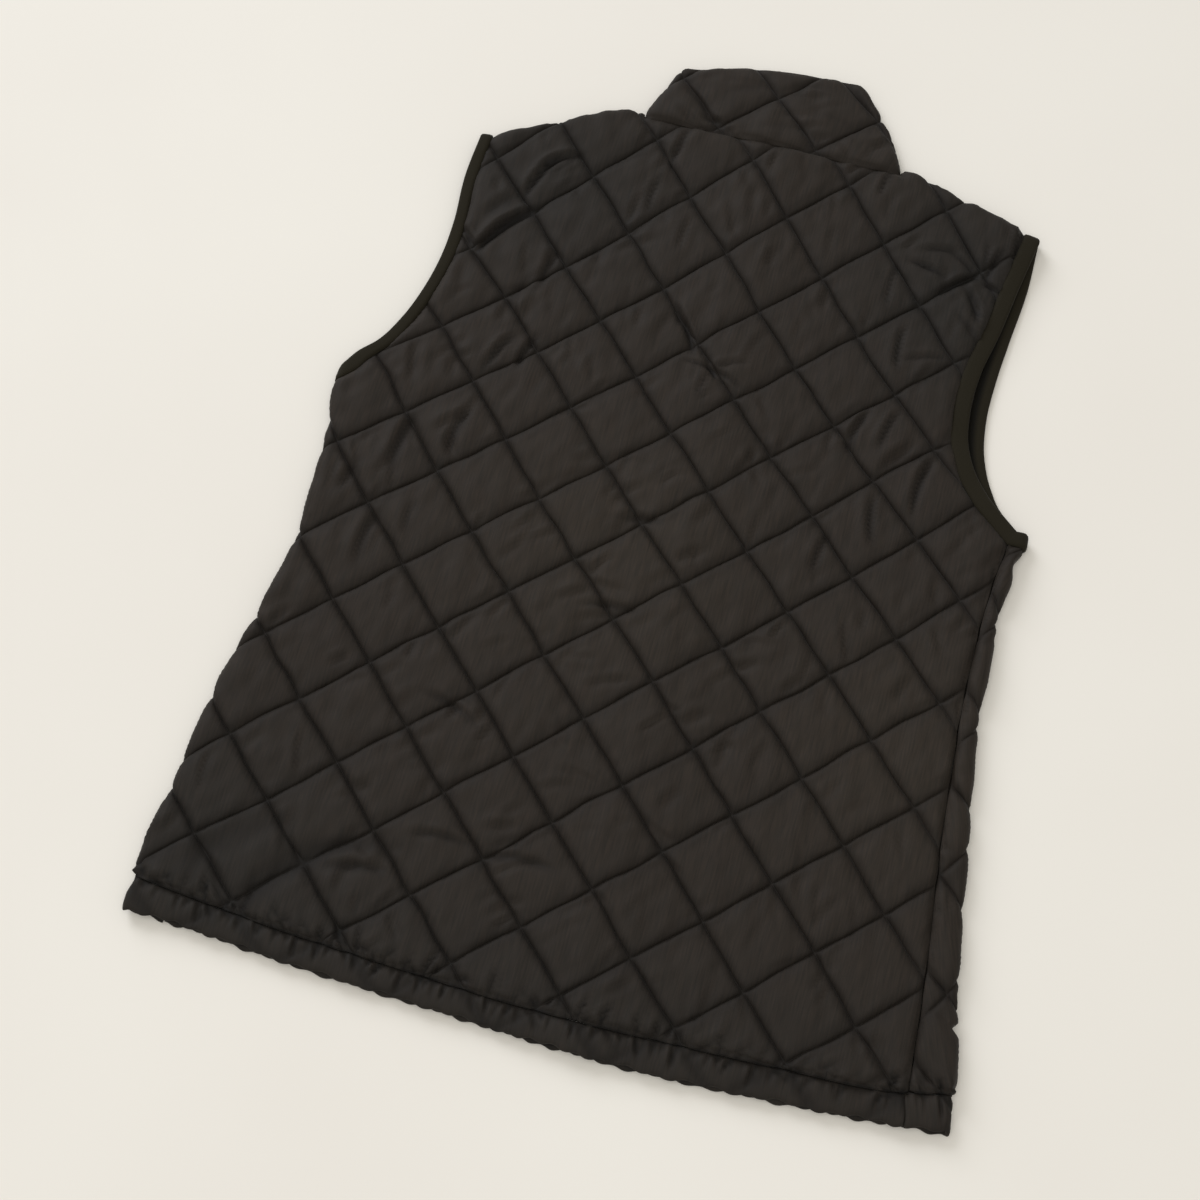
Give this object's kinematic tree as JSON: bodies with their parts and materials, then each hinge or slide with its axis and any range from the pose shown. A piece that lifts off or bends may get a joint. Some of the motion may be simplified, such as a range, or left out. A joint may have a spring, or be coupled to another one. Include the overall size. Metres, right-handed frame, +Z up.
{
  "type": "quilted vest",
  "caption": "Quilted stand-collar vest with bound armholes, zipped shut and laid flat on its front.",
  "frame": {"origin": "on the surface that the vest lies on, under the middle of its bounding box", "axes": "+Y from the hem to the collar, +Z up from the surface through the fronts to the back, +X to the right of someone looking down at the back"},
  "size_m": [0.5215, 0.7266, 0.0135],
  "materials": {
    "quilted_cloth": "satin",
    "binding_tape": "matte",
    "zip_tape": "matte",
    "zip_teeth": "matte",
    "zip_metal": "satin"
  },
  "bodies": {
    "vest": {"back": "quilted_cloth", "left_front": "quilted_cloth", "right_front": "quilted_cloth", "collar": "quilted_cloth", "left_armhole_binding": "binding_tape", "right_armhole_binding": "binding_tape", "zip_tape_left": "zip_tape", "zip_tape_right": "zip_tape", "zip_teeth": "zip_teeth", "zip_box": "zip_teeth", "zip_slider": "zip_metal"},
    "pull": {"zip_pull": "zip_metal"}
  },
  "joints": [
    {"name": "pull_tab_hinge", "type": "hinge", "parent": "vest", "child": "pull", "pos_m": [0.00139, 0.27366, 0.0016], "axis": [0.999, 0.0452, 0], "range_deg": [0, 160]}
  ]
}
